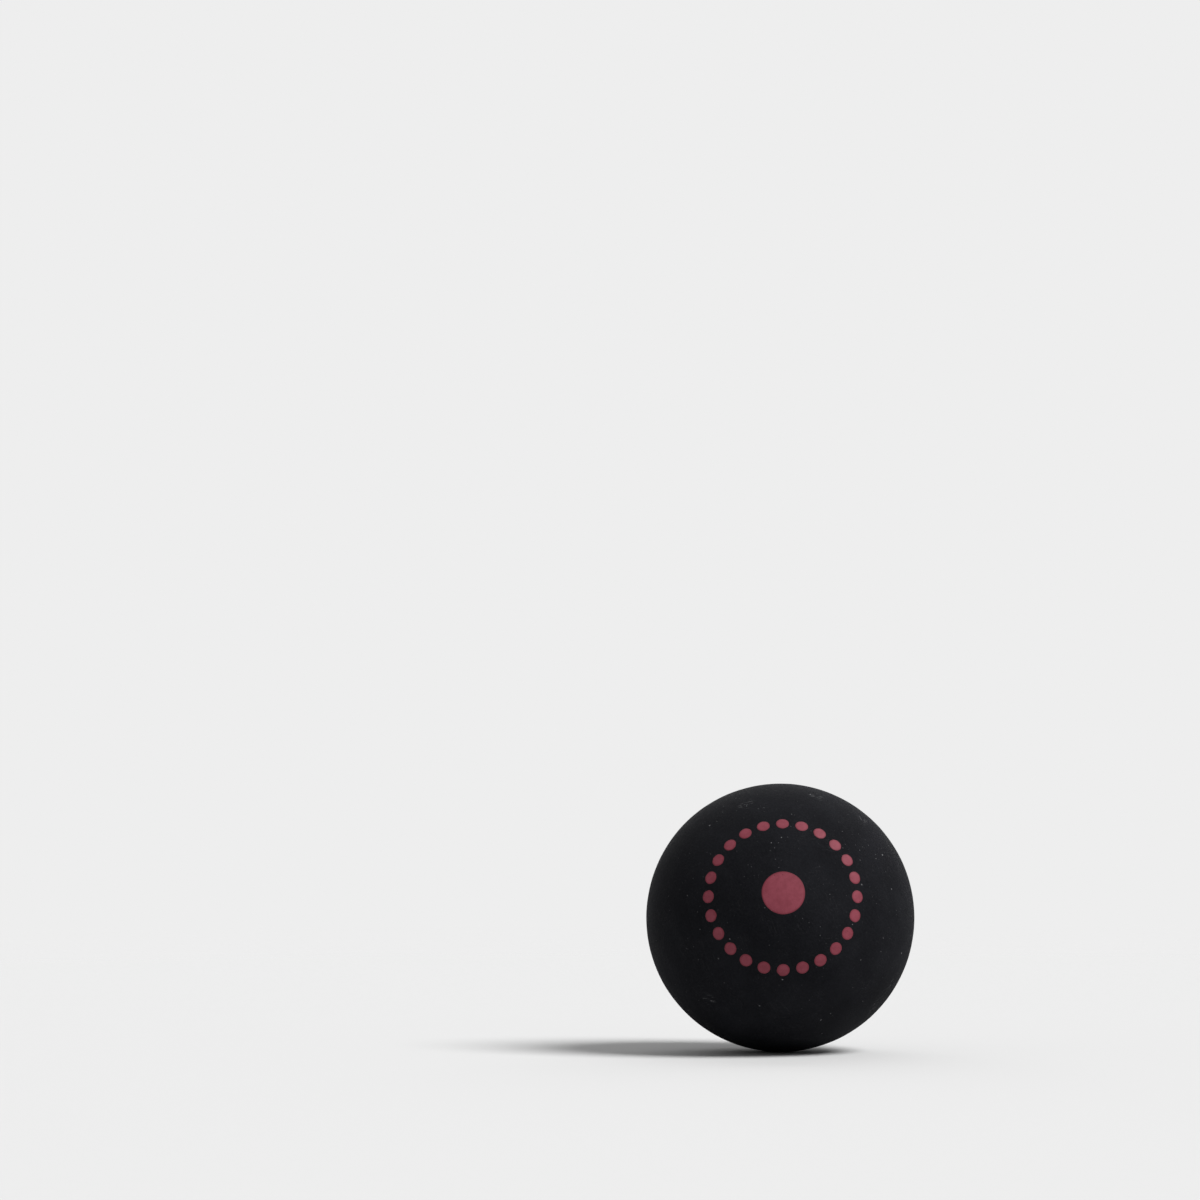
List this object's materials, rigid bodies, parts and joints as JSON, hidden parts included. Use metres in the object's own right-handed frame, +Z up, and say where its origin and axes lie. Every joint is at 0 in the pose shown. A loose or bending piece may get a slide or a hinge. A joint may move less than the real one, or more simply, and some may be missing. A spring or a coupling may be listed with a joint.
{
  "type": "squash ball",
  "caption": "Small hollow ball of matte black rubber, two moulded halves bonded at a hairline seam, with a plain red dot mark printed on one side; it bounces off a court's walls.",
  "frame": {"origin": "the centre of the ball", "axes": "+Z up; the seam lies in the XZ plane; the printed half faces -Y, with the mark raised a little towards +Z, and the plain half faces +Y"},
  "size_m": [0.04, 0.04, 0.04],
  "materials": {
    "rubber": "matte, buffed",
    "cement": "satin",
    "ink": "matte"
  },
  "bodies": {
    "root": {"front_half_shell": "rubber", "rear_half_shell": "rubber", "seam_bond": "cement", "speed_dot": "ink", "ring_dots": "ink"}
  },
  "joints": []
}
